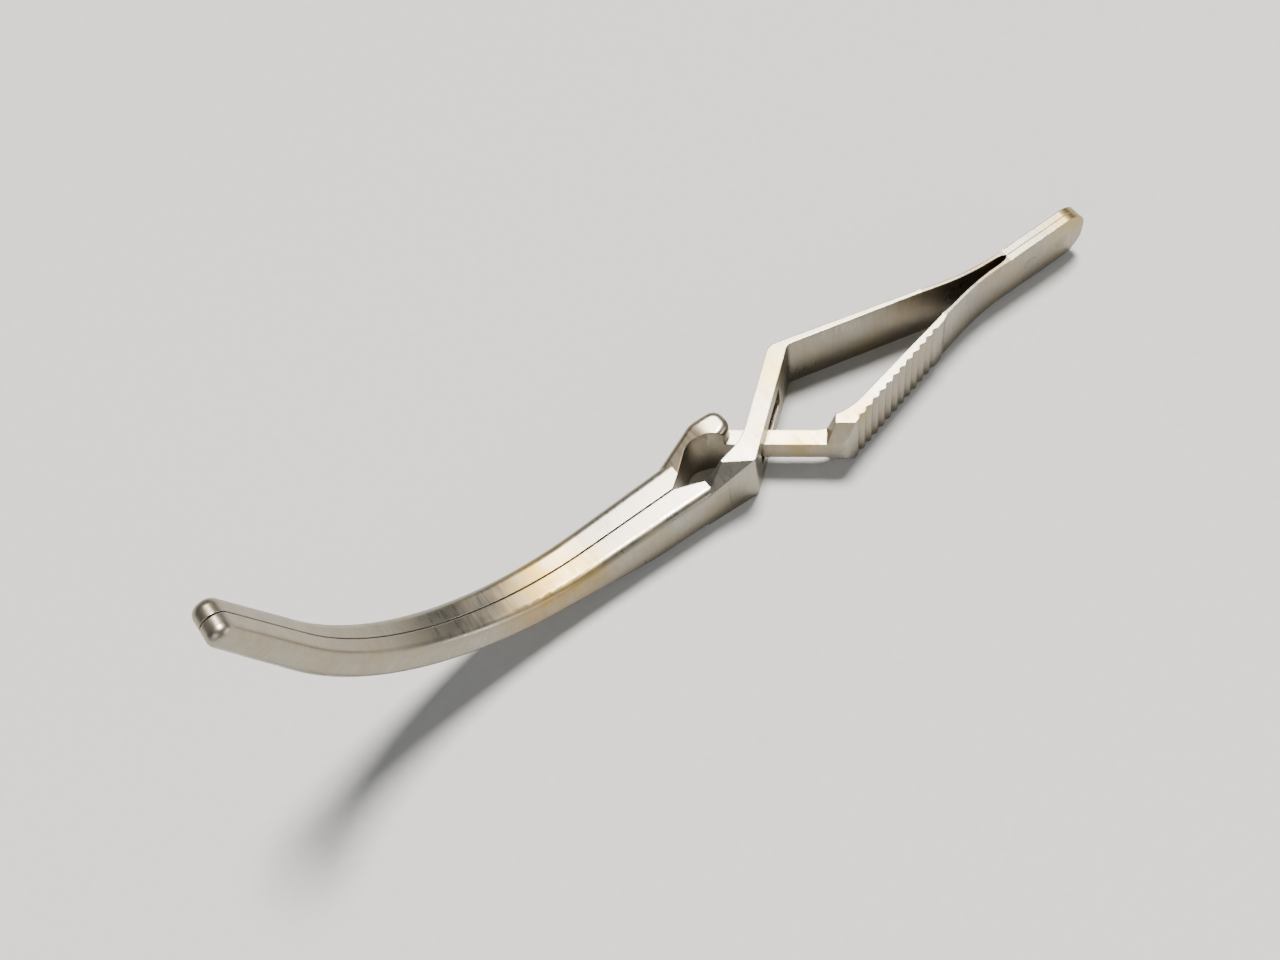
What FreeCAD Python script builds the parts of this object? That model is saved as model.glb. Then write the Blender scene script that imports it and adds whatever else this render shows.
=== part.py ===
import FreeCAD, Part
import math
import os

from FreeCAD import Vector

# Cross-action bulldog clamp for small vessels, lying on its side with its jaws curved upwards.
# X runs along the clamp from the tail to the jaws, Y is the way the jaws open, Z is up.
# While it is built, x = 0 is where the jaws' seam begins and z = 0 is the table. Lengths are in mm,
# angles in degrees. Each branch is built with its grip on the -Y side and its jaw on the +Y side,
# and the necked one is then mirrored.

# Strip that both branches are cut from
STRIP_WIDTH = 8.0
TAIL_WIDTH = 6.8
TAIL_LENGTH = 11.0
TAIL_END_RADIUS = 2.7
TAIL_HALF_THICKNESS = 0.85
SPLIT_TO_ROOT = 46.0

# Rivets through the tail
RIVET_RADIUS = 0.8
RIVET_INSET = 3.2
RIVET_SPACING = 4.6

# Leaf spring of each branch
LEAF_THICKNESS = 0.45
LEAF_LENGTH = 10.5
LEAF_LEAD = 1.0
LEAF_BEND_RADIUS = 31.0
SPLIT_NOSE_LENGTH = 1.4

# Grips, both thicker towards their bends
SMOOTH_GRIP_ANGLE = 15.5
SMOOTH_GRIP_WEDGE = 1.1
PAD_ANGLE = 11.2
PAD_WEDGE = 3.0
PAD_STEP = 0.25
PAD_RAMP = 0.6
PAD_TOOTH_PITCH = 1.2
PAD_TOOTH_DEPTH = 0.3
PAD_TOOTH_LAND = 0.2
PAD_TOOTH_ROOT_RADIUS = 0.25
PAD_TOOTH_START = 1.2
PAD_TOOTH_END = 1.3

# Bends and the crossing
STEEP_ANGLE = 39.0
STEEP_THICKNESS = 2.0
CROSSING_TO_ROOT = 11.0
BEND_OUTER_RADIUS = 1.6
BEND_INNER_RADIUS = 0.8
PAD_BEND_INNER_RADIUS = 6.5
LOW_BEND_RADIUS = 0.7

# Neck of the one branch, and the slot of the other that it passes through
NECK_WIDTH = 2.8
NECK_THICKNESS = 1.85
NECK_START = 7.6
PAD_END = 8.5
PAD_BEVEL_WIDTH = 1.25
PAD_BEVEL_TILT = 62.5
SLOT_CLEARANCE = 0.25
SLOT_TO_BEND = 6.6
SLOT_TO_JAW = 1.9
SLOT_CORNER_RADIUS = 0.8

# Heel, the rounded full-width end of the neck, and the shank from it down to the jaw
HEEL_RADIUS = 1.4
HEEL_BACK = 7.75
HEEL_OUT = 3.2
SHANK_CREST_BACK = 5.6
SHANK_CREST_OUT = 4.85
SHANK_CREST_RADIUS = 2.5
SHANK_FLAT_END = 6.3
SHANK_FLAT_END_RADIUS = 5.0
SHANK_EDGE_RADIUS = 0.8
SHANK_END = 1.0
SHANK_END_OUT = 2.8
SHANK_END_SUNK = 0.7
SHANK_END_RISE = 0.8
SHANK_FOOT_END = 5.0
SHANK_FOOT_RADIUS = 20.0

# Leaf-shaped opening behind the jaws: the corner of each branch's inner side
SLOTTED_OPENING_BACK = 3.6
SLOTTED_OPENING_OUT = 1.5
SLOTTED_OPENING_START = 0.36
SLOTTED_FLARE_RADIUS = 7.0
NECKED_OPENING_BACK = 4.2
NECKED_OPENING_OUT = 3.3
NECKED_OPENING_START = 2.5
NECKED_FLARE_RADIUS = 0.9
OPENING_CREST_RADIUS = 2.2

# Low bend of the slotted branch: a slope down to the jaw and a facet at its outer corner
LOW_BEND_OUT = 3.3
LOW_BEND_END = 2.0
LOW_BEND_END_OUT = 2.95
SHOULDER_START = 5.6
SHOULDER_END = 3.2
FACET_OUT = 1.34
FACET_HEADING = 55.0
FACET_TILT = 31.5

# Jaws, along the line that runs through the middle of both
JAW_LINE_HEIGHT = 4.2
JAW_ROOT_STRAIGHT = 11.5
JAW_CURVE_RADIUS = 30.7
JAW_CURVE_ANGLE = 71.0
JAW_TIP_STRAIGHT = 13.0
JAW_HALF_WIDTH_ROOT = 2.4
JAW_HALF_WIDTH_TIP = 1.4
JAW_THICKNESS_ROOT = 3.1
JAW_THICKNESS_TIP = 2.16
JAW_EDGE_RADIUS = 1.0
JAW_START = 5.0
JAW_FOOT_END = 5.0
JAW_FOOT_RADIUS = 20.0
TIP_ROUNDING = 0.96
SEAM_GAP = 0.16

# Rows of jaw teeth: one on the necked branch, which runs in a groove between the other's two
TOOTH_PITCH = 1.5
TOOTH_DEPTH = 0.35
TOOTH_NOTCH_SHARE = 0.8
TOOTH_ROWS_HALF_WIDTH = 1.05
RAIL_HALF_WIDTH = 0.32
RAIL_HEIGHT = 0.58
RAIL_CLEARANCE = 0.15
TEETH_START = 2.0
TEETH_END = 2.4

# Sizes and places that follow
HALF_STRIP = STRIP_WIDTH / 2
SPLIT_X = -SPLIT_TO_ROOT
TAIL_X = SPLIT_X - TAIL_LENGTH
ARM_X = SPLIT_X + LEAF_LENGTH
CROSSING = Vector(-CROSSING_TO_ROOT, 0, 0)
JAW_CURVE_LENGTH = math.radians(JAW_CURVE_ANGLE) * JAW_CURVE_RADIUS
JAW_LENGTH = JAW_ROOT_STRAIGHT + JAW_CURVE_LENGTH + JAW_TIP_STRAIGHT
HALF_GAP = SEAM_GAP / 2
RELIEF = TAIL_HALF_THICKNESS - LEAF_THICKNESS
JAW_TOP = JAW_LINE_HEIGHT + JAW_HALF_WIDTH_ROOT
BEYOND = JAW_LENGTH
TINY = 1e-6


def heading(angle):
    """Unit vector in the XY plane, at an angle from +X."""
    return Vector(math.cos(math.radians(angle)), math.sin(math.radians(angle)), 0)


def left_of(angle):
    """Unit vector a quarter turn to the left of a heading."""
    return heading(angle + 90)


def meet(p, angle_p, q, angle_q):
    """Where the line through p at angle_p crosses the line through q at angle_q."""
    u, v, d = heading(angle_p), heading(angle_q), q - p
    return p + u * ((d.x * v.y - d.y * v.x) / (u.x * v.y - u.y * v.x))


def at_x(p, angle, x):
    """The point of a line, through p at an angle, that has the given x."""
    return p + heading(angle) * ((x - p.x) / heading(angle).x)


def rounded(corners):
    """Closed wire through (point, radius) corners, each rounded by an arc tangent to its sides."""
    starts, ends, edges = [], [], []
    count = len(corners)
    for i, (point, radius) in enumerate(corners):
        u = (corners[i - 1][0] - point).normalize()
        v = (corners[(i + 1) % count][0] - point).normalize()
        half = u.getAngle(v) / 2
        if radius < TINY:
            starts.append(point)
            ends.append(point)
            continue
        back = radius / math.tan(half)
        middle = point + (u + v).normalize() * (radius / math.sin(half) - radius)
        starts.append(point + u * back)
        ends.append(point + v * back)
        edges.append(Part.Arc(starts[-1], middle, ends[-1]).toShape())
    for i in range(count):
        a, b = ends[i], starts[(i + 1) % count]
        if a.distanceToPoint(b) > TINY:
            edges.append(Part.makeLine(a, b))
    return Part.Wire(Part.sortEdges(edges)[0])


def prism(corners, low, high):
    """Solid between two heights over a rounded outline in plan."""
    solid = Part.Face(rounded(corners)).extrude(Vector(0, 0, high - low))
    solid.translate(Vector(0, 0, low))
    return solid


def side_prism(corners, low, high):
    """Solid between two y values over a rounded outline whose points are (x, z)."""
    solid = prism(corners, -high, -low)
    solid.rotate(Vector(0, 0, 0), Vector(1, 0, 0), 90)
    return solid


def at(x, y, radius=0.0):
    """Corner of an outline."""
    return Vector(x, y, 0), radius


def above_plane(point, angle, tilt):
    """Everything above a plane through a point that falls by a tilt towards a heading."""
    block = Part.makeBox(2 * BEYOND, BEYOND, BEYOND, Vector(-BEYOND, 0, 0))
    block.rotate(Vector(0, 0, 0), Vector(1, 0, 0), -tilt)
    block.rotate(Vector(0, 0, 0), Vector(0, 0, 1), angle - 90)
    block.translate(point)
    return block


def upside_down(shape):
    """The same shape at the strip's other edge."""
    return shape.mirror(Vector(0, 0, HALF_STRIP), Vector(0, 0, 1))


def strip_outline():
    """Side outline of the strip: round tail end, then wider towards the grips."""
    low, high = HALF_STRIP - TAIL_WIDTH / 2, HALF_STRIP + TAIL_WIDTH / 2
    corners = [
        at(TAIL_X, low, TAIL_END_RADIUS),
        at(TAIL_X, high, TAIL_END_RADIUS),
        at(SPLIT_X, high),
        at(ARM_X, STRIP_WIDTH),
        at(0, STRIP_WIDTH),
        at(0, 0),
        at(ARM_X, 0),
        at(SPLIT_X, low),
    ]
    return side_prism(corners, -BEYOND, BEYOND)


def leaf_line(angle):
    """Point and angle of a leaf's straight outer face, past its bend."""
    corner = SPLIT_X + LEAF_LEAD + LEAF_BEND_RADIUS * math.tan(math.radians(angle / 2))
    return Vector(corner, -TAIL_HALF_THICKNESS, 0), -angle


def tail_half():
    """Flat half of the tail, with its two rivet holes."""
    half = Part.makeBox(TAIL_LENGTH, TAIL_HALF_THICKNESS, STRIP_WIDTH)
    half.translate(Vector(TAIL_X, -TAIL_HALF_THICKNESS, 0))
    return half.common(strip_outline()).cut(rivets())


def rivets():
    """Two flush rivets through both halves of the tail."""
    pins = []
    for n in range(2):
        x = TAIL_X + RIVET_INSET + n * RIVET_SPACING
        foot = Vector(x, -TAIL_HALF_THICKNESS, HALF_STRIP)
        pins.append(Part.makeCylinder(RIVET_RADIUS, 2 * TAIL_HALF_THICKNESS, foot, Vector(0, 1, 0)))
    return Part.makeCompound(pins)


def leaf_spring(angle):
    """Thin leaf that bends away from the seam, ground thin on its inner face from the split on."""
    outer, slope = leaf_line(angle)
    inner = outer + left_of(slope) * LEAF_THICKNESS
    inner_turn = meet(inner, slope, Vector(0, -RELIEF, 0), 0)
    nose = (SPLIT_NOSE_LENGTH**2 - RELIEF**2) / (2 * SPLIT_NOSE_LENGTH)
    nose_radius = (SPLIT_NOSE_LENGTH**2 + RELIEF**2) / (2 * RELIEF)
    corners = [
        at(SPLIT_X, -TAIL_HALF_THICKNESS),
        (outer, LEAF_BEND_RADIUS),
        (at_x(outer, slope, ARM_X), 0.0),
        (at_x(inner, slope, ARM_X), 0.0),
        (inner_turn, LEAF_BEND_RADIUS + LEAF_THICKNESS),
        at(SPLIT_X + nose, -RELIEF, nose_radius),
        at(SPLIT_X, 0),
    ]
    return prism(corners, 0, STRIP_WIDTH).common(strip_outline())


def steep_sides(thickness):
    """A point on the jaw side and one on the tail side of the steep part that crosses over."""
    half = left_of(STEEP_ANGLE) * (thickness / 2)
    return CROSSING - half, CROSSING + half


def jaw_line(s):
    """Point of the jaws' middle line at a distance s from the root, and its angle above X."""
    if s <= JAW_ROOT_STRAIGHT:
        return Vector(s, 0, JAW_LINE_HEIGHT), 0.0
    turned = min(math.degrees((s - JAW_ROOT_STRAIGHT) / JAW_CURVE_RADIUS), JAW_CURVE_ANGLE)
    a = math.radians(turned)
    bent = Vector(math.sin(a), 0, 1 - math.cos(a)) * JAW_CURVE_RADIUS
    rest = max(s - JAW_ROOT_STRAIGHT - JAW_CURVE_LENGTH, 0)
    return Vector(JAW_ROOT_STRAIGHT, 0, JAW_LINE_HEIGHT) + bent + along(turned) * rest, turned


def along(angle):
    """Unit vector in the XZ plane, at an angle above +X."""
    return Vector(math.cos(math.radians(angle)), 0, math.sin(math.radians(angle)))


def set_on_jaw_line(shape, s):
    """Turns and moves a shape made at the origin to its station on the jaws' middle line."""
    point, angle = jaw_line(s)
    shape.rotate(Vector(0, 0, 0), Vector(0, 1, 0), -angle)
    shape.translate(point)
    return shape


def rise_angle(foot, turn, angle, radius):
    """Angle at which a line from the foot touches the arc that rounds a turn of the jaw."""
    back = radius * math.tan(math.radians(JAW_CURVE_ANGLE / 2))
    reach = turn - heading(angle) * back + left_of(angle) * radius - foot
    return math.degrees(math.atan2(reach.y, reach.x) - math.asin(radius / reach.Length))


def jaw_side_corners():
    """Outline of a jaw seen from the side: level root, tangent arcs and tapered, round tip."""
    taper = math.degrees(math.atan((JAW_HALF_WIDTH_ROOT - JAW_HALF_WIDTH_TIP) / JAW_LENGTH))
    mean = (JAW_HALF_WIDTH_ROOT + JAW_HALF_WIDTH_TIP) / 2
    end, _ = jaw_line(JAW_LENGTH)
    across = left_of(JAW_CURVE_ANGLE) * JAW_HALF_WIDTH_TIP
    upper, lower = Vector(end.x, end.z, 0) + across, Vector(end.x, end.z, 0) - across
    root = Vector(0, JAW_LINE_HEIGHT - JAW_HALF_WIDTH_ROOT, 0)
    foot = Vector(JAW_FOOT_END, 0, 0)
    turn = meet(root, taper, lower, JAW_CURVE_ANGLE + taper)
    rise = rise_angle(foot, turn, taper, JAW_CURVE_RADIUS + mean)
    return [
        at(-JAW_START, JAW_TOP),
        at(0, JAW_TOP),
        (meet(Vector(0, JAW_TOP, 0), -taper, upper, JAW_CURVE_ANGLE - taper), JAW_CURVE_RADIUS - mean),
        (upper, TIP_ROUNDING * JAW_HALF_WIDTH_TIP),
        (lower, TIP_ROUNDING * JAW_HALF_WIDTH_TIP),
        (meet(foot, rise, lower, JAW_CURVE_ANGLE + taper), JAW_CURVE_RADIUS + mean),
        (foot, JAW_FOOT_RADIUS),
        at(-JAW_START, 0),
    ]


def jaw_bar():
    """Curved bar of one jaw with rounded outer edges, thinner towards its tip."""
    bar = side_prism(jaw_side_corners(), -JAW_THICKNESS_ROOT, JAW_THICKNESS_ROOT)
    outer = max(bar.Faces, key=lambda face: face.CenterOfMass.y)
    rims = [edge for edge in outer.Edges if edge.CenterOfMass.x > TINY - JAW_START]
    bar = bar.makeFillet(JAW_EDGE_RADIUS, rims)
    end, _ = jaw_line(JAW_LENGTH)
    thinning = math.degrees(math.atan((JAW_THICKNESS_ROOT - JAW_THICKNESS_TIP) / end.x))
    bar.rotate(Vector(0, JAW_THICKNESS_ROOT, 0), Vector(0, 0, 1), -thinning)
    return bar


def inner_side(front, start, back, out, flare):
    """Everything on the far side of a branch's inner boundary: opening, then flat jaw face."""
    corners = [
        (front, 0.0),
        (meet(front, STEEP_ANGLE, Vector(0, start, 0), 0), flare),
        at(-back, out, OPENING_CREST_RADIUS),
        at(0, HALF_GAP),
        at(JAW_LENGTH, HALF_GAP),
        at(JAW_LENGTH, -BEYOND),
        at(front.x, -BEYOND),
    ]
    return prism(corners, -BEYOND, BEYOND)


def jaw_band(start, end, half_width, low, high):
    """Bar that follows the jaws' line from start to end, between two y values."""
    inside, outside = [], []
    stops = [start, JAW_ROOT_STRAIGHT, JAW_ROOT_STRAIGHT + JAW_CURVE_LENGTH, end]
    for s in stops:
        point, angle = jaw_line(s)
        inside.append(point + along(angle + 90) * half_width)
        outside.append(point - along(angle + 90) * half_width)
    point, angle = jaw_line((stops[1] + stops[2]) / 2)
    edges = []
    for track, offset in ((inside, half_width), (outside, -half_width)):
        edges.append(Part.makeLine(track[0], track[1]))
        edges.append(Part.Arc(track[1], point + along(angle + 90) * offset, track[2]).toShape())
        edges.append(Part.makeLine(track[2], track[3]))
    edges.append(Part.makeLine(inside[0], outside[0]))
    edges.append(Part.makeLine(inside[3], outside[3]))
    bar = Part.Face(Part.Wire(Part.sortEdges(edges)[0])).extrude(Vector(0, high - low, 0))
    bar.translate(Vector(0, low, 0))
    return bar


def tooth_notches(level, depth, half_width):
    """Row of V notches across the jaws' line, cut from a level towards +Y by a depth."""
    notches = []
    half = TOOTH_PITCH * TOOTH_NOTCH_SHARE / 2
    count = int((JAW_LENGTH - TEETH_START - TEETH_END) / TOOTH_PITCH)
    for n in range(count):
        corners = [
            at(-half, level - TINY),
            at(half, level - TINY),
            at(0, level + depth),
        ]
        notch = prism(corners, -half_width, half_width)
        notches.append(set_on_jaw_line(notch, TEETH_START + (n + 0.5) * TOOTH_PITCH))
    return notches


def slotted_arm():
    """Smooth grip, slotted steep part and jaw with two rows of teeth, in one piece."""
    outer, slope = leaf_line(SMOOTH_GRIP_ANGLE)
    thin = at_x(outer + left_of(slope) * LEAF_THICKNESS, slope, ARM_X)
    front, back = steep_sides(STEEP_THICKNESS)
    level = Vector(0, LOW_BEND_OUT, 0)
    corners = [
        (at_x(outer, slope, ARM_X), 0.0),
        (meet(outer, slope, front, STEEP_ANGLE), BEND_OUTER_RADIUS),
        (front, 0.0),
        at(-LOW_BEND_END, front.y),
        at(-LOW_BEND_END, LOW_BEND_END_OUT),
        (meet(back, STEEP_ANGLE, level, 0), LOW_BEND_RADIUS),
        (meet(thin, slope + SMOOTH_GRIP_WEDGE, back, STEEP_ANGLE), BEND_INNER_RADIUS),
        (thin, 0.0),
    ]
    inside = inner_side(
        front, SLOTTED_OPENING_START, SLOTTED_OPENING_BACK, SLOTTED_OPENING_OUT, SLOTTED_FLARE_RADIUS
    )
    strip = prism(corners, 0, STRIP_WIDTH).cut(inside).cut(shoulder())
    groove = jaw_band(
        TEETH_START - RAIL_CLEARANCE,
        JAW_LENGTH - TEETH_END + RAIL_CLEARANCE,
        RAIL_HALF_WIDTH + RAIL_CLEARANCE,
        HALF_GAP - TINY,
        RAIL_HEIGHT - HALF_GAP + RAIL_CLEARANCE,
    )
    notches = tooth_notches(HALF_GAP, TOOTH_DEPTH, TOOTH_ROWS_HALF_WIDTH)
    jaw = jaw_bar().cut(inside).cut(groove).cut(notches)
    return strip.fuse(jaw).cut(slot()).removeSplitter()


def shoulder():
    """What is ground off the low bend: a slope down to the jaw and a facet at the outer corner."""
    corners = [
        at(-SHOULDER_START, STRIP_WIDTH),
        at(-SHOULDER_END, JAW_TOP),
        at(0, JAW_TOP),
        at(0, 2 * STRIP_WIDTH),
        at(-SHOULDER_START, 2 * STRIP_WIDTH),
    ]
    facet = above_plane(Vector(-SHOULDER_START, FACET_OUT, STRIP_WIDTH), FACET_HEADING, FACET_TILT)
    return [side_prism(corners, -BEYOND, BEYOND), facet]


def slot():
    """Window through the steep part, for the neck, made along X and then turned to its angle."""
    low = (STRIP_WIDTH - NECK_WIDTH) / 2 - SLOT_CLEARANCE
    high = STRIP_WIDTH - low
    corners = [
        at(-SLOT_TO_BEND, low, SLOT_CORNER_RADIUS),
        at(SLOT_TO_JAW, low, SLOT_CORNER_RADIUS),
        at(SLOT_TO_JAW, high, SLOT_CORNER_RADIUS),
        at(-SLOT_TO_BEND, high, SLOT_CORNER_RADIUS),
    ]
    return on_steep(side_prism(corners, -STEEP_THICKNESS, STEEP_THICKNESS))


def on_steep(shape):
    """Moves a shape made about the origin to the crossing, with its X along the steep part."""
    shape.rotate(Vector(0, 0, 0), Vector(0, 0, 1), STEEP_ANGLE)
    shape.translate(CROSSING)
    return shape


def pad_and_neck():
    """Thick toothed grip, its bend, and the neck through the other branch's slot to the heel."""
    outer, slope = leaf_line(PAD_ANGLE)
    inner = outer + left_of(slope) * LEAF_THICKNESS
    raised = at_x(outer, slope, ARM_X + PAD_RAMP) - left_of(slope) * PAD_STEP
    rising = slope - PAD_WEDGE
    front, back = steep_sides(NECK_THICKNESS)
    bend = meet(raised, rising, front, STEEP_ANGLE)
    heel = Vector(-HEEL_BACK, HEEL_OUT, 0) - CROSSING
    reach = heading(STEEP_ANGLE) * heel.dot(heading(STEEP_ANGLE))
    corners = [
        (at_x(outer, slope, ARM_X), 0.0),
        (raised, 0.0),
        (bend, BEND_OUTER_RADIUS),
        (front + reach, 0.0),
        (back + reach, 0.0),
        (meet(inner, slope, back, STEEP_ANGLE), PAD_BEND_INNER_RADIUS),
        (at_x(inner, slope, ARM_X), 0.0),
    ]
    bar = prism(corners, 0, STRIP_WIDTH)
    return bar.cut(pad_tooth_grooves(raised, rising, bend)).cut(ground_off_neck())


def pad_tooth_grooves(raised, rising, bend):
    """Cross grooves that leave the saw teeth of the pad."""
    run = heading(rising)
    depth = left_of(rising) * PAD_TOOTH_DEPTH
    start = raised + run * PAD_TOOTH_START
    count = int((start.distanceToPoint(bend) - PAD_TOOTH_END) / PAD_TOOTH_PITCH)
    grooves = []
    for n in range(count):
        near = start + run * (n * PAD_TOOTH_PITCH)
        far = near + run * (PAD_TOOTH_PITCH - PAD_TOOTH_LAND)
        corners = [
            (near - depth, 0.0),
            (near, 0.0),
            ((near + far) / 2 + depth, PAD_TOOTH_ROOT_RADIUS),
            (far, 0.0),
            (far - depth, 0.0),
        ]
        grooves.append(prism(corners, 0, STRIP_WIDTH))
    return grooves


def ground_off_neck():
    """What is ground off above and below the neck, and the bevels at the pad's end."""
    high = (STRIP_WIDTH + NECK_WIDTH) / 2
    corners = [
        at(-PAD_END, STRIP_WIDTH),
        at(-NECK_START, high),
        at(BEYOND, high),
        at(BEYOND, 2 * STRIP_WIDTH),
        at(-PAD_END, 2 * STRIP_WIDTH),
    ]
    step = on_steep(side_prism(corners, -STRIP_WIDTH, STRIP_WIDTH))
    edge = CROSSING + left_of(STEEP_ANGLE) * (PAD_BEVEL_WIDTH - NECK_THICKNESS / 2)
    edge.z = STRIP_WIDTH
    bevel = above_plane(edge, STEEP_ANGLE - 90, PAD_BEVEL_TILT)
    return [step, upside_down(step), bevel, upside_down(bevel)]


def shank():
    """Round heel at the neck's end and the bar that slopes down from it to the jaw's flat top."""
    round_end = TIP_ROUNDING * HEEL_RADIUS
    plan = [
        at(-HEEL_BACK - HEEL_RADIUS, HEEL_OUT - HEEL_RADIUS, round_end),
        at(-HEEL_BACK - HEEL_RADIUS, HEEL_OUT + HEEL_RADIUS, round_end),
        at(-SHANK_CREST_BACK, SHANK_CREST_OUT, SHANK_CREST_RADIUS),
        at(SHANK_END, SHANK_END_OUT),
        at(SHANK_END, -SHANK_END),
    ]
    side = [
        at(-2 * HEEL_BACK, 0),
        at(-2 * HEEL_BACK, STRIP_WIDTH),
        at(-SHANK_FLAT_END, STRIP_WIDTH, SHANK_FLAT_END_RADIUS),
        at(SHANK_END, JAW_TOP - SHANK_END_SUNK),
        at(SHANK_END, SHANK_END_RISE),
        at(-SHANK_FOOT_END, 0, SHANK_FOOT_RADIUS),
    ]
    bar = prism(plan, 0, STRIP_WIDTH).common(side_prism(side, -BEYOND, BEYOND))
    rims = [edge for edge in bar.Edges if edge.BoundBox.XLength > SEAM_GAP]
    return bar.makeFillet(SHANK_EDGE_RADIUS, rims)


def necked_arm():
    """Toothed grip, neck, heel and jaw with one row of teeth, in one piece."""
    front, _ = steep_sides(NECK_THICKNESS)
    inside = inner_side(
        front, NECKED_OPENING_START, NECKED_OPENING_BACK, NECKED_OPENING_OUT, NECKED_FLARE_RADIUS
    )
    low = HALF_GAP - RAIL_HEIGHT
    rail = jaw_band(TEETH_START, JAW_LENGTH - TEETH_END, RAIL_HALF_WIDTH, low, SEAM_GAP)
    rail = rail.cut(tooth_notches(low, TOOTH_DEPTH, RAIL_HALF_WIDTH + HALF_GAP))
    jaw = jaw_bar().cut(inside).fuse(rail)
    return pad_and_neck().fuse(shank().cut(inside)).fuse(jaw)


def mirrored(shape):
    """The same shape on the other side of the seam."""
    return shape.mirror(Vector(0, 0, 0), Vector(0, 1, 0))


def build():
    """Every node's shape, still in the frame whose x = 0 is where the jaws' seam begins."""
    return {
        "tail_half_slotted": tail_half(),
        "tail_half_necked": mirrored(tail_half()),
        "tail_rivets": rivets(),
        "leaf_spring_slotted": leaf_spring(SMOOTH_GRIP_ANGLE),
        "leaf_spring_necked": mirrored(leaf_spring(PAD_ANGLE)),
        "slotted_arm": slotted_arm(),
        "necked_arm": mirrored(necked_arm()),
    }


def flex_point(angle):
    """Middle of a leaf's free length, about which its arm turns."""
    x = SPLIT_X + LEAF_LENGTH / 2
    run = x - SPLIT_X - LEAF_LEAD
    drop = LEAF_BEND_RADIUS - math.sqrt(LEAF_BEND_RADIUS**2 - run**2)
    return Vector(x, LEAF_THICKNESS / 2 - TAIL_HALF_THICKNESS - drop, HALF_STRIP)


def main():
    os.makedirs("parts", exist_ok=True)
    nodes = build()
    box = Part.makeCompound(list(nodes.values())).optimalBoundingBox(False, False)
    move = Vector(-box.Center.x, -box.Center.y, 0)
    for name, shape in nodes.items():
        shape.translate(move)
        shape.exportStep("parts/" + name + ".step")
        print(name, "solids", len(shape.Solids), "volume", round(shape.Volume, 3), "valid", shape.isValid())
    necked = flex_point(PAD_ANGLE)
    necked.y = -necked.y
    print("moved by", move)
    print("slotted arm turns about", flex_point(SMOOTH_GRIP_ANGLE) + move)
    print("necked arm turns about", necked + move)


main()
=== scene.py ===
import math
import bpy
import bmesh
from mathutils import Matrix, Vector


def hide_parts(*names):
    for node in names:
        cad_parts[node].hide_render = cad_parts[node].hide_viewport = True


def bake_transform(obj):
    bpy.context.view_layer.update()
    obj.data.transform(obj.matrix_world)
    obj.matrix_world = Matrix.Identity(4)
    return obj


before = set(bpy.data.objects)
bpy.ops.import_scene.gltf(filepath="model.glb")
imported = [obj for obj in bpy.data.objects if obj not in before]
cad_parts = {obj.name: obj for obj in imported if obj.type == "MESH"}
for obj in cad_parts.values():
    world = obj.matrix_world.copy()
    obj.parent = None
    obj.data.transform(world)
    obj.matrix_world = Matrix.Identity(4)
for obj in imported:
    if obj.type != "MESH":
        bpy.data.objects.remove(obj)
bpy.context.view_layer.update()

# The clamp's own frame has x = 0 where the jaws' seam begins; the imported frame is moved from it.
MM = 0.001
MOVE = Vector((5.6458, 0.1495, 0.0))

# Strip and leaf springs, as in the CAD source, in mm and degrees
STRIP_WIDTH = 8.0
TAIL_WIDTH = 6.8
TAIL_HALF_THICKNESS = 0.85
SPLIT_X = -46.0
LEAF_THICKNESS = 0.45
LEAF_LENGTH = 10.5
LEAF_LEAD = 1.0
LEAF_BEND_RADIUS = 31.0
SPLIT_NOSE_LENGTH = 1.4
SMOOTH_GRIP_ANGLE = 15.5
PAD_ANGLE = 11.2

# Mesh of the leaf springs: sections crowd towards the tail, where the split's arch is
LEAF_STATIONS = 44
STATION_CROWDING = 1.5
LEAF_EDGE_RADIUS = 0.09
LEAF_EDGE_STEPS = 2
LEAF_EDGE_FADE = 1.6
LEAF_END_EDGE_SHARE = 0.06
SHARP_EDGE_ANGLE = 10

# Line of the jaws, which the finish follows
JAW_LINE_HEIGHT = 4.2
JAW_ROOT_STRAIGHT = 11.5
JAW_CURVE_RADIUS = 30.7
JAW_CURVE_ANGLE = 71.0
JAW_TIP_SHARE = 0.9

# Steel of the clamp and of the rivets
SATIN_TINT = (0.33, 0.304, 0.258)
SATIN_ROUGHNESS = 0.31
SATIN_BRUSHING = 1.0
RIVET_TINT = (0.30, 0.28, 0.24)
RIVET_ROUGHNESS = 0.38
RIVET_BRUSHING = 0.5

# Noises of the steel: cycles a metre, detail, roughness and, where there is one, distortion
COARSE_BRUSH = (2600.0, 5.0, 0.65)
FINE_BRUSH = (9000.0, 3.0, 0.6)
GRAIN = (14000.0, 2.0, 0.6)
CLOUDS = (190.0, 4.0, 0.6, 0.4)
PATCHES = (620.0, 3.0, 0.55, 0.8)
SCRATCHES = (5200.0, 2.0, 0.5)
STAIN_EDGE_NOISE = (900.0, 4.0, 0.6)
RUST_EDGE_NOISE = (5200.0, 3.0, 0.5)
STROKE_STRETCH = 0.12
SCRATCH_STRETCH = 0.07

# Part of each noise's range that shows, from nothing to all of it
WARM_RANGE = (0.36, 0.64)
DULL_RANGE = (0.40, 0.72)
STREAK_RANGE = (0.35, 0.68)
SCRATCH_RANGE = (0.66, 0.74)
SCRATCHED_RANGE = (0.45, 0.60)
ROUGH_RANGE = (0.30, 0.70)
STAIN_RANGE = (0.30, 0.62)

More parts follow.
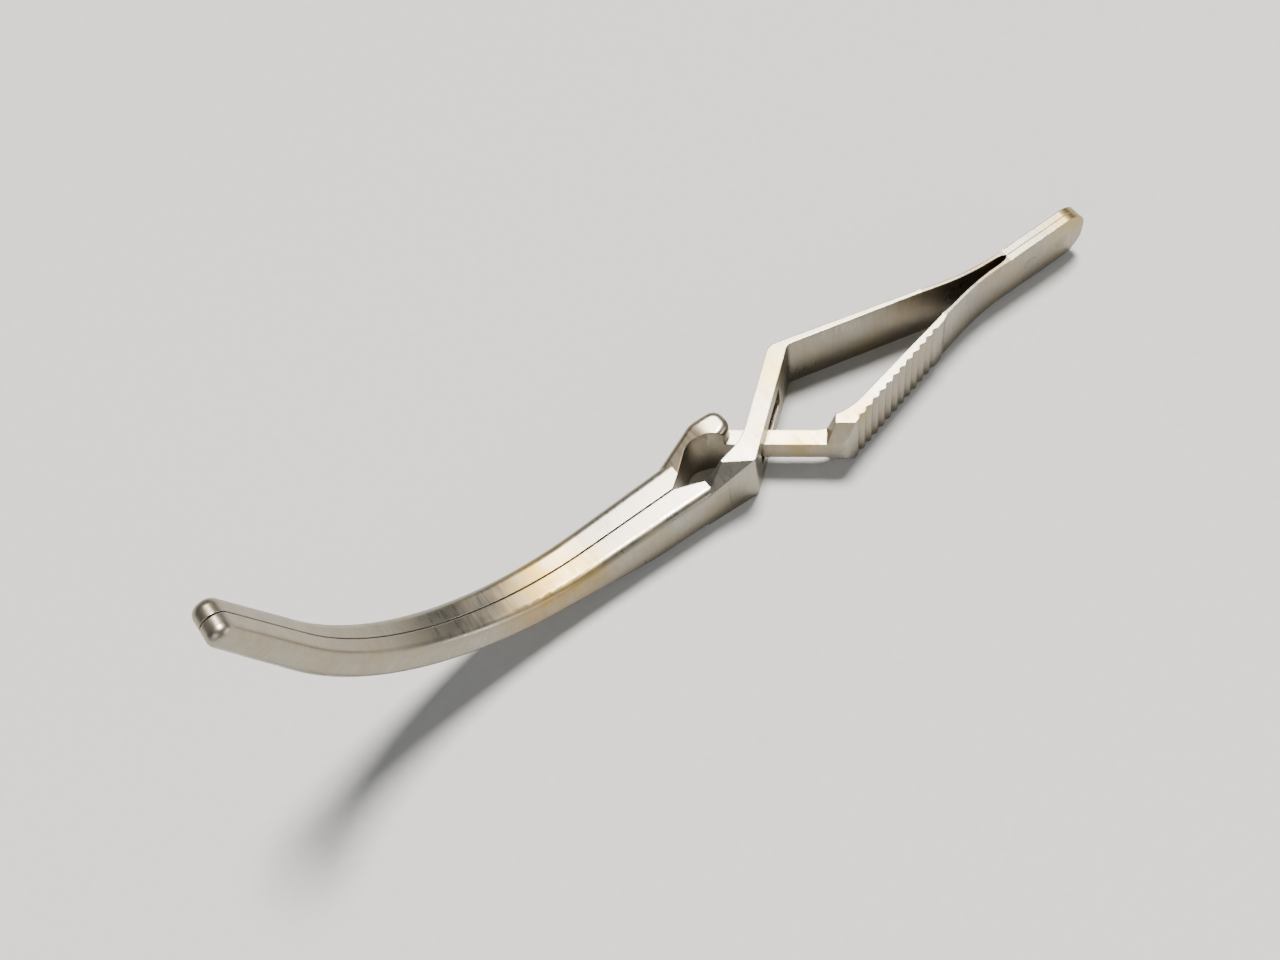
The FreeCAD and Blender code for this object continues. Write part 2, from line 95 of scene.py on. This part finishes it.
# How strongly each of them colours the steel, and the factors on its tint
WARM_FACTORS = (1.04, 0.95, 0.78)
DARK_FACTOR = 0.74
SCRATCH_FACTOR = 1.3
# The edges' lighter tint is real wear and a painted highlight along the edges
WEAR_HIGHLIGHT_FACTOR = 1.12
DULL_SHARE = 0.35
STREAK_SHARE = 0.34
SCRATCH_SHARE = 0.25
SEAM_SHARE = 0.85
WEAR_HIGHLIGHT_SHARE = 0.55
LEAST_STAIN = 0.35
SEAM_DARK = (0.05, 0.045, 0.04, 1)
RUST_BROWN = (0.16, 0.055, 0.015, 1)

# What each of them adds to the roughness
CLOUD_ROUGHNESS = (-0.05, 0.06)
BRUSH_ROUGHNESS = (-0.05, 0.07)
SCRATCH_ROUGHNESS = -0.03
SEAM_ROUGHNESS = 0.3
STAIN_ROUGHNESS = 0.05
RUST_ROUGHNESS = 0.35
WORN_ROUGHNESS = -0.10

# Small forms that the shader adds to the steel, in metres
SOFT_EDGE_RADIUS = 0.00016
EDGE_SAMPLES = 6
JOINT_BARE = 0.00018
JOINT_FULL = 0.00040
SEAM_CORE = 0.00002
SEAM_RIM = 0.00007
STAIN_EDGE_DEPTH = 0.0034
RUST_EDGE_DEPTH = 0.0004
BUMP_DEPTH = 0.000012
BUMP_STRENGTH = 0.5
COARSE_BUMP = 0.55
FINE_BUMP = 0.30
GRAIN_BUMP = 0.35

# Cosine of the rounded normal's turn, where an edge starts to look worn and to carry a painted
# highlight, and where it fully does
WEAR_HIGHLIGHT_START = 0.995
WEAR_HIGHLIGHT_FULL = 0.86


def placed(x, y, z):
    """A point of the clamp's own frame, in mm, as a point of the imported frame, in metres."""
    return (Vector((x, y, z)) + MOVE) * MM


# Each stain has its middle, radius in metres, colour and strength
STAINS = (
    (placed(17.0, 0.5, 7.0), 0.0042, (0.38, 0.235, 0.04, 1), 0.90),
    (placed(12.6, 2.4, 6.6), 0.0024, (0.34, 0.235, 0.06, 1), 0.65),
    (placed(-16.6, -4.4, 8.0), 0.0026, (0.36, 0.26, 0.07, 1), 0.75),
    (placed(-13.6, 3.2, 6.0), 0.0030, (0.36, 0.26, 0.08, 1), 0.75),
    (placed(-20.6, 5.6, 8.0), 0.0018, (0.34, 0.23, 0.06, 1), 0.65),
    (placed(-55.2, 0.1, 7.6), 0.0030, (0.40, 0.28, 0.06, 1), 0.85),
    (placed(-43.0, -0.8, 7.8), 0.0016, (0.34, 0.22, 0.05, 1), 0.65),
    (placed(-4.0, -3.0, 7.4), 0.0028, (0.42, 0.30, 0.15, 1), 0.45),
)
STAIN_EDGE_SHARE = 0.75

# One speck of rust, with its middle and radius in metres
RUST_MIDDLE = placed(-41.5, -0.90, 7.95)
RUST_RADIUS = 0.00030
RUST_EDGE_SHARE = 0.4

# Camera, fitted to the photograph's outline, in mm and degrees; its nearest view is in metres
CAMERA_PLACE = placed(32.612, 68.667, 151.51)
CAMERA_TURN = (27.565, 6.529, 144.712)
FOCAL_LENGTH = 43.37
SENSOR_WIDTH = 36.0
NEAREST_VIEW = 0.005

# Studio, in metres, degrees and watts, or watts a square metre for the key, which is a sun.
# The paper's tooth is a noise like those of the steel.
FLOOR_HALF_WIDTH = 12.0
FLOOR_DARK = (0.45, 0.45, 0.44, 1)
FLOOR_PALE = (0.51, 0.51, 0.50, 1)
PAPER_TOOTH = (900.0, 3.0, 0.5)
PAPER_BUMP_STRENGTH = 0.15
PAPER_BUMP_DEPTH = 0.0001
PAPER_ROUGHNESS = 0.75
PAPER_GLOSS = 0.25
KEY_DIRECTION = Vector((0.26, 0.24, -1.0))
KEY_POWER = 9.6
KEY_ANGLE = 15
KEY_COLOR = (1.0, 0.97, 0.92)
FILL_PLACE = (0.40, 0.30, 0.35)
FILL_SIZE = (0.40, 0.30)
FILL_POWER = 0.7
FILL_COLOR = (0.95, 0.97, 1.0)
RIM_PLACE = (-0.30, 0.42, 0.22)
RIM_SIZE = (0.45, 0.15)
RIM_POWER = 1.0
RIM_COLOR = (1.0, 1.0, 1.0)
HORIZON_COLOR = (1.15, 1.15, 1.14, 1)
SKY_COLOR = (0.150, 0.155, 0.162, 1)
SKY_RISE = 0.22


# Shader nodes

class Nodes:
    """Small helper that adds shader nodes and links them."""

    def __init__(self, tree):
        self.tree = tree

    def add(self, kind, **values):
        node = self.tree.nodes.new(kind)
        for name, value in values.items():
            setattr(node, name, value)
        return node

    def put(self, socket, value):
        if isinstance(value, bpy.types.NodeSocket):
            self.tree.links.new(value, socket)
        else:
            socket.default_value = value

    def math(self, operation, a, b=0.0):
        node = self.add("ShaderNodeMath", operation=operation)
        self.put(node.inputs[0], a)
        self.put(node.inputs[1], b)
        return node.outputs[0]

    def add_share(self, value, mask, share):
        """A value with a share of a mask added to it."""
        return self.math("ADD", value, self.math("MULTIPLY", mask, share))

    def noise(self, vector, scale, detail, roughness, distortion=0.0):
        node = self.add("ShaderNodeTexNoise")
        self.put(node.inputs["Vector"], vector)
        node.inputs["Scale"].default_value = scale
        node.inputs["Detail"].default_value = detail
        node.inputs["Roughness"].default_value = roughness
        node.inputs["Distortion"].default_value = distortion
        return node.outputs["Fac"]

    def fit(self, value, low, high, to_low=0.0, to_high=1.0, interpolation="LINEAR"):
        node = self.add("ShaderNodeMapRange", clamp=True, interpolation_type=interpolation)
        self.put(node.inputs["Value"], value)
        node.inputs["From Min"].default_value = low
        node.inputs["From Max"].default_value = high
        node.inputs["To Min"].default_value = to_low
        node.inputs["To Max"].default_value = to_high
        return node.outputs["Result"]

    def mix(self, share, a, b):
        node = self.add("ShaderNodeMix", data_type="RGBA")
        self.put(node.inputs[0], share)
        self.put(node.inputs[6], a)
        self.put(node.inputs[7], b)
        return node.outputs[2]

    def mix_vectors(self, share, a, b):
        node = self.add("ShaderNodeMix", data_type="VECTOR")
        self.put(node.inputs[0], share)
        self.put(node.inputs[4], a)
        self.put(node.inputs[5], b)
        return node.outputs[1]

    def vector(self, x, y, z):
        node = self.add("ShaderNodeCombineXYZ")
        for socket, value in zip(node.inputs, (x, y, z)):
            self.put(socket, value)
        return node.outputs[0]

    def parts(self, vector):
        node = self.add("ShaderNodeSeparateXYZ")
        self.put(node.inputs[0], vector)
        return node.outputs

    def bump(self, height, strength, depth):
        node = self.add("ShaderNodeBump")
        node.inputs["Strength"].default_value = strength
        node.inputs["Distance"].default_value = depth
        self.put(node.inputs["Height"], height)
        return node


# Camera and studio

def make_camera():
    data = bpy.data.cameras.new("camera")
    data.lens = FOCAL_LENGTH
    data.sensor_width = SENSOR_WIDTH
    data.clip_start = NEAREST_VIEW
    camera = bpy.data.objects.new("camera", data)
    camera.location = CAMERA_PLACE
    camera.rotation_euler = [math.radians(a) for a in CAMERA_TURN]
    bpy.context.scene.collection.objects.link(camera)
    bpy.context.scene.camera = camera


def paper():
    """Pale matt paper with a fine tooth."""
    mat = bpy.data.materials.new("floor_paper")
    mat.use_nodes = True
    n = Nodes(mat.node_tree)
    shader = mat.node_tree.nodes["Principled BSDF"]
    shader.inputs["Roughness"].default_value = PAPER_ROUGHNESS
    shader.inputs["Specular IOR Level"].default_value = PAPER_GLOSS
    coords = n.add("ShaderNodeTexCoord")
    tooth = n.noise(coords.outputs["Object"], *PAPER_TOOTH)
    n.put(shader.inputs["Base Color"], n.mix(tooth, FLOOR_DARK, FLOOR_PALE))
    bump = n.bump(tooth, PAPER_BUMP_STRENGTH, PAPER_BUMP_DEPTH)
    n.put(shader.inputs["Normal"], bump.outputs["Normal"])
    return mat


def make_floor():
    mesh = bpy.data.meshes.new("floor")
    half = FLOOR_HALF_WIDTH
    corners = [(-half, -half, 0), (half, -half, 0), (half, half, 0), (-half, half, 0)]
    mesh.from_pydata(corners, [], [(0, 1, 2, 3)])
    mesh.materials.append(paper())
    floor = bpy.data.objects.new("floor", mesh)
    bpy.context.scene.collection.objects.link(floor)


def point_light(data, direction):
    """Add a light's object, turned to shine along a direction."""
    light = bpy.data.objects.new(data.name, data)
    light.rotation_euler = direction.to_track_quat("-Z", "Y").to_euler()
    bpy.context.scene.collection.objects.link(light)
    return light


def sun_light(name, direction, power, angle, color):
    data = bpy.data.lights.new(name, "SUN")
    data.energy = power
    data.angle = math.radians(angle)
    data.color = color
    point_light(data, direction)


def area_light(name, location, size, power, color):
    """A rectangular lamp that shines at the origin."""
    data = bpy.data.lights.new(name, "AREA")
    data.shape = "RECTANGLE"
    data.size, data.size_y = size
    data.energy = power
    data.color = color
    light = point_light(data, -Vector(location))
    light.location = location


def make_world():
    """A studio whose walls are as pale as the floor at the horizon and darker above."""
    world = bpy.data.worlds.new("studio")
    bpy.context.scene.world = world
    world.use_nodes = True
    background = world.node_tree.nodes["Background"]
    n = Nodes(world.node_tree)
    coords = n.add("ShaderNodeTexCoord")
    rise = n.parts(coords.outputs["Generated"])[2]
    share = n.fit(rise, 0.0, SKY_RISE, interpolation="SMOOTHSTEP")
    n.put(background.inputs["Color"], n.mix(share, HORIZON_COLOR, SKY_COLOR))
    background.inputs["Strength"].default_value = 1.0


def make_lights():
    sun_light("key", KEY_DIRECTION, KEY_POWER, KEY_ANGLE, KEY_COLOR)
    area_light("fill", FILL_PLACE, FILL_SIZE, FILL_POWER, FILL_COLOR)
    area_light("rim", RIM_PLACE, RIM_SIZE, RIM_POWER, RIM_COLOR)
    make_world()


# Steel

def along_clamp(n, position):
    """Distance along the clamp in metres: x up to the jaws' bend, then along their curve."""
    x, y, z = n.parts(position)
    start = placed(JAW_ROOT_STRAIGHT, 0, JAW_LINE_HEIGHT)
    centre = placed(JAW_ROOT_STRAIGHT, 0, JAW_LINE_HEIGHT + JAW_CURVE_RADIUS)
    radius = JAW_CURVE_RADIUS * MM
    bend = math.radians(JAW_CURVE_ANGLE)
    dx = n.math("SUBTRACT", x, centre.x)
    dz = n.math("SUBTRACT", centre.z, z)
    angle = n.math("ARCTAN2", dx, dz)
    turned = n.math("MINIMUM", n.math("MAXIMUM", angle, 0.0), bend)
    straight = n.math("MINIMUM", dx, 0.0)
    end = Vector((math.sin(bend), 0, -math.cos(bend))) * radius
    ux = n.math("MULTIPLY", n.math("SUBTRACT", dx, end.x), math.cos(bend))
    uz = n.math("MULTIPLY", n.math("ADD", dz, end.z), -math.sin(bend))
    tip = n.math("MAXIMUM", n.math("ADD", ux, uz), 0.0)
    tip = n.math("MULTIPLY", tip, n.math("GREATER_THAN", angle, bend * JAW_TIP_SHARE))
    s = n.math("ADD", straight, n.math("ADD", n.math("MULTIPLY", turned, radius), tip))
    squares = n.math("ADD", n.math("MULTIPLY", dx, dx), n.math("MULTIPLY", dz, dz))
    return n.math("ADD", s, start.x), y, n.math("SQRT", squares)


def times(tint, factor):
    """A tint times a factor, as a colour."""
    return [c * factor for c in tint] + [1]


def ragged(n, position, noise, depth):
    """How far, in metres, a spot's edge is pushed in or out."""
    wave = n.math("SUBTRACT", n.noise(position, *noise), 0.5)
    return n.math("MULTIPLY", wave, depth)


def spot(n, position, point, radius, edge, push):
    """Mask of a ragged spot about a point, all in metres."""
    gap = n.add("ShaderNodeVectorMath", operation="DISTANCE")
    n.put(gap.inputs[0], position)
    gap.inputs[1].default_value = point
    pushed = n.math("ADD", gap.outputs["Value"], push)
    return n.fit(pushed, radius - edge, radius + edge, 1.0, 0.0)


def away_from_joints(n, x):
    """Mask that is 0 at both ends of the leaves, where the steel goes on into the next piece."""
    away = 1.0
    for joint in (SPLIT_X, SPLIT_X + LEAF_LENGTH):
        gap = n.math("ABSOLUTE", n.math("SUBTRACT", x, placed(joint, 0, 0).x))
        away = n.math("MULTIPLY", n.fit(gap, JOINT_BARE, JOINT_FULL), away)
    return away


def soft_edges(n, x):
    """Mask of the worn edges, which also carry a painted highlight, and the normal that rounds them.
    """
    soft = n.add("ShaderNodeBevel", samples=EDGE_SAMPLES)
    soft.inputs["Radius"].default_value = SOFT_EDGE_RADIUS
    geometry = n.add("ShaderNodeNewGeometry")
    facing = n.add("ShaderNodeVectorMath", operation="DOT_PRODUCT")
    n.put(facing.inputs[0], soft.outputs["Normal"])
    n.put(facing.inputs[1], geometry.outputs["Normal"])
    away = away_from_joints(n, x)
    wear_and_highlight = n.math("MULTIPLY", n.fit(facing.outputs["Value"], WEAR_HIGHLIGHT_START, WEAR_HIGHLIGHT_FULL), away)
    normal = n.mix_vectors(away, geometry.outputs["Normal"], soft.outputs["Normal"])
    return wear_and_highlight, normal


def seam_mask(n, x, y):
    """Mask of the fine dark line between the two halves of the tail."""
    from_seam = n.math("ABSOLUTE", n.math("SUBTRACT", y, MOVE.y * MM))
    line = n.fit(from_seam, SEAM_CORE, SEAM_RIM, 1.0, 0.0)
    on_tail = n.math("LESS_THAN", x, placed(SPLIT_X, 0, 0).x)
    return n.math("MULTIPLY", line, on_tail)


def add_stains(n, position, patch, color, rough):
    """Golden stains and one speck of rust, on a colour and a roughness."""
    push = ragged(n, position, STAIN_EDGE_NOISE, STAIN_EDGE_DEPTH)
    for point, radius, hue, strength in STAINS:
        mask = spot(n, position, point, radius, radius * STAIN_EDGE_SHARE, push)
        mask = n.math("MULTIPLY", mask, n.fit(patch, *STAIN_RANGE, LEAST_STAIN, strength))
        color = n.mix(mask, color, hue)
        rough = n.add_share(rough, mask, STAIN_ROUGHNESS)
    push = ragged(n, position, RUST_EDGE_NOISE, RUST_EDGE_DEPTH)
    mask = spot(n, position, RUST_MIDDLE, RUST_RADIUS, RUST_RADIUS * RUST_EDGE_SHARE, push)
    return n.mix(mask, color, RUST_BROWN), n.add_share(rough, mask, RUST_ROUGHNESS)


def steel(name, tint, roughness, brushing, stained=True):
    """Satin stainless steel: fine brushing across the clamp, blasted grain, stains, and worn edges
    with a painted highlight.
    """
    mat = bpy.data.materials.new(name)
    mat.use_nodes = True
    n = Nodes(mat.node_tree)
    shader = mat.node_tree.nodes["Principled BSDF"]
    shader.inputs["Metallic"].default_value = 1.0
    position = n.add("ShaderNodeTexCoord").outputs["Object"]
    x = n.parts(position)[0]
    s, y, across = along_clamp(n, position)

    stroke_y = n.math("MULTIPLY", y, STROKE_STRETCH)
    stroke_across = n.math("MULTIPLY", across, STROKE_STRETCH)
    strokes = n.vector(s, stroke_y, stroke_across)
    coarse_brush = n.noise(strokes, *COARSE_BRUSH)
    fine_brush = n.noise(strokes, *FINE_BRUSH)
    grain = n.noise(position, *GRAIN)
    cloud = n.noise(position, *CLOUDS)
    patch = n.noise(position, *PATCHES)
    lengthways = n.vector(n.math("MULTIPLY", s, SCRATCH_STRETCH), y, across)
    scratch = n.fit(n.noise(lengthways, *SCRATCHES), *SCRATCH_RANGE)
    scratch = n.math("MULTIPLY", scratch, n.fit(patch, *SCRATCHED_RANGE))
    wear_and_highlight, normal = soft_edges(n, x)
    seam = seam_mask(n, x, y)

    dark = times(tint, DARK_FACTOR)
    warm = [c * factor for c, factor in zip(tint, WARM_FACTORS)] + [1]
    dull = n.math("MULTIPLY", n.fit(patch, *DULL_RANGE), DULL_SHARE)
    streak = n.math("MULTIPLY", n.fit(coarse_brush, *STREAK_RANGE), STREAK_SHARE * brushing)
    color = n.mix(n.fit(cloud, *WARM_RANGE), (*tint, 1), warm)
    color = n.mix(dull, color, dark)
    color = n.mix(streak, color, dark)
    color = n.mix(n.math("MULTIPLY", scratch, SCRATCH_SHARE), color, times(tint, SCRATCH_FACTOR))
    color = n.mix(n.math("MULTIPLY", seam, SEAM_SHARE), color, SEAM_DARK)

    rough = n.math("ADD", n.fit(cloud, *ROUGH_RANGE, *CLOUD_ROUGHNESS), roughness)
    rough = n.add_share(rough, scratch, SCRATCH_ROUGHNESS)
    rough = n.math("ADD", rough, n.fit(coarse_brush, *ROUGH_RANGE, *BRUSH_ROUGHNESS))
    rough = n.add_share(rough, seam, SEAM_ROUGHNESS)
    if stained:
        color, rough = add_stains(n, position, patch, color, rough)
    # Edges get a lighter tint, which is partly real wear and partly a painted highlight, and lower
    # roughness from the wear
    color = n.mix(n.math("MULTIPLY", wear_and_highlight, WEAR_HIGHLIGHT_SHARE), color, times(tint, WEAR_HIGHLIGHT_FACTOR))
    rough = n.add_share(rough, wear_and_highlight, WORN_ROUGHNESS)
    n.put(shader.inputs["Base Color"], color)
    n.put(shader.inputs["Roughness"], rough)

    height = n.math("MULTIPLY", coarse_brush, COARSE_BUMP * brushing)
    height = n.add_share(height, fine_brush, FINE_BUMP * brushing)
    height = n.add_share(height, grain, GRAIN_BUMP)
    bump = n.bump(height, BUMP_STRENGTH, BUMP_DEPTH)
    n.put(bump.inputs["Normal"], normal)
    n.put(shader.inputs["Normal"], bump.outputs["Normal"])
    return mat


# Leaf springs, which bend between the tail and the arms

def leaf_outer(x, angle):
    """How far a leaf's outer face is from the seam at x, and its slope there."""
    run = x - (SPLIT_X + LEAF_LEAD)
    slope = math.radians(angle)
    if run <= 0:
        return TAIL_HALF_THICKNESS, 0.0
    full = LEAF_BEND_RADIUS * math.sin(slope)
    if run < full:
        drop = LEAF_BEND_RADIUS - math.sqrt(LEAF_BEND_RADIUS ** 2 - run ** 2)
        return TAIL_HALF_THICKNESS + drop, math.asin(run / LEAF_BEND_RADIUS)
    drop = LEAF_BEND_RADIUS * (1 - math.cos(slope)) + (run - full) * math.tan(slope)
    return TAIL_HALF_THICKNESS + drop, slope


def leaf_inner(x, angle):
    """How far a leaf's inner face is from the seam at x, with the split's pointed arch."""
    outer, slope = leaf_outer(x, angle)
    ground = outer - LEAF_THICKNESS / math.cos(slope)
    from_split = x - SPLIT_X
    if from_split >= SPLIT_NOSE_LENGTH:
        return ground
    relief = TAIL_HALF_THICKNESS - LEAF_THICKNESS
    share = from_split / SPLIT_NOSE_LENGTH
    return min(ground, relief * math.sqrt(max(0.0, 1 - (1 - share) ** 2)))


def leaf_ring(x, angle, sign):
    """Section of a leaf at x: a rectangle with small round edges, which fade at its two ends."""
    outer = leaf_outer(x, angle)[0]
    inner = leaf_inner(x, angle)
    share = min(max((x - SPLIT_X) / LEAF_LENGTH, 0.0), 1.0)
    half = (TAIL_WIDTH + (STRIP_WIDTH - TAIL_WIDTH) * share) / 2
    from_end = min(x - SPLIT_X, SPLIT_X + LEAF_LENGTH - x) / LEAF_EDGE_FADE
    r = LEAF_EDGE_RADIUS * min(max(from_end, LEAF_END_EDGE_SHARE), 1.0)
    corners = (
        (outer - r, half - r, 0),
        (inner + r, half - r, 90),
        (inner + r, r - half, 180),
        (outer - r, r - half, 270),
    )
    ring = []
    for corner_y, corner_z, turn in corners:
        for step in range(LEAF_EDGE_STEPS + 1):
            a = math.radians(turn + 90 * step / LEAF_EDGE_STEPS)
            y, z = corner_y + r * math.cos(a), corner_z + r * math.sin(a)
            ring.append(placed(x, sign * y, STRIP_WIDTH / 2 + z))
    return ring


def leaf_mesh(name, angle, sign):
    """The leaf's closed mesh: a skin round its sections, and a cap at each end."""
    mesh = bpy.data.meshes.new(name)
    bm = bmesh.new()
    rings = []
    for i in range(LEAF_STATIONS + 1):
        x = SPLIT_X + LEAF_LENGTH * (i / LEAF_STATIONS) ** STATION_CROWDING
        rings.append([bm.verts.new(p) for p in leaf_ring(x, angle, sign)])
    count = len(rings[0])
    for a, b in zip(rings, rings[1:]):
        for k in range(count):
            bm.faces.new((a[k], a[(k + 1) % count], b[(k + 1) % count], b[k]))
    bm.faces.new(rings[0])
    bm.faces.new(list(reversed(rings[-1])))
    bmesh.ops.recalc_face_normals(bm, faces=bm.faces)
    for edge in bm.edges:
        edge.smooth = edge.calc_face_angle() < math.radians(SHARP_EDGE_ANGLE)
    for face in bm.faces:
        face.smooth = True
    bm.to_mesh(mesh)
    bm.free()
    return mesh


def make_leaf(node, angle, sign, mat):
    name = node + "_bending"
    leaf = bpy.data.objects.new(name, leaf_mesh(name, angle, sign))
    bpy.context.scene.collection.objects.link(leaf)
    leaf.data.materials.append(mat)
    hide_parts(node)
    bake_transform(leaf)


def main():
    make_camera()
    make_floor()
    make_lights()
    satin = steel("satin_steel", SATIN_TINT, SATIN_ROUGHNESS, SATIN_BRUSHING)
    rivet = steel("rivet_steel", RIVET_TINT, RIVET_ROUGHNESS, RIVET_BRUSHING, stained=False)
    for name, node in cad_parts.items():
        node.data.materials.clear()
        node.data.materials.append(rivet if name == "tail_rivets" else satin)
    make_leaf("leaf_spring_slotted", SMOOTH_GRIP_ANGLE, -1, satin)
    make_leaf("leaf_spring_necked", PAD_ANGLE, 1, satin)


main()
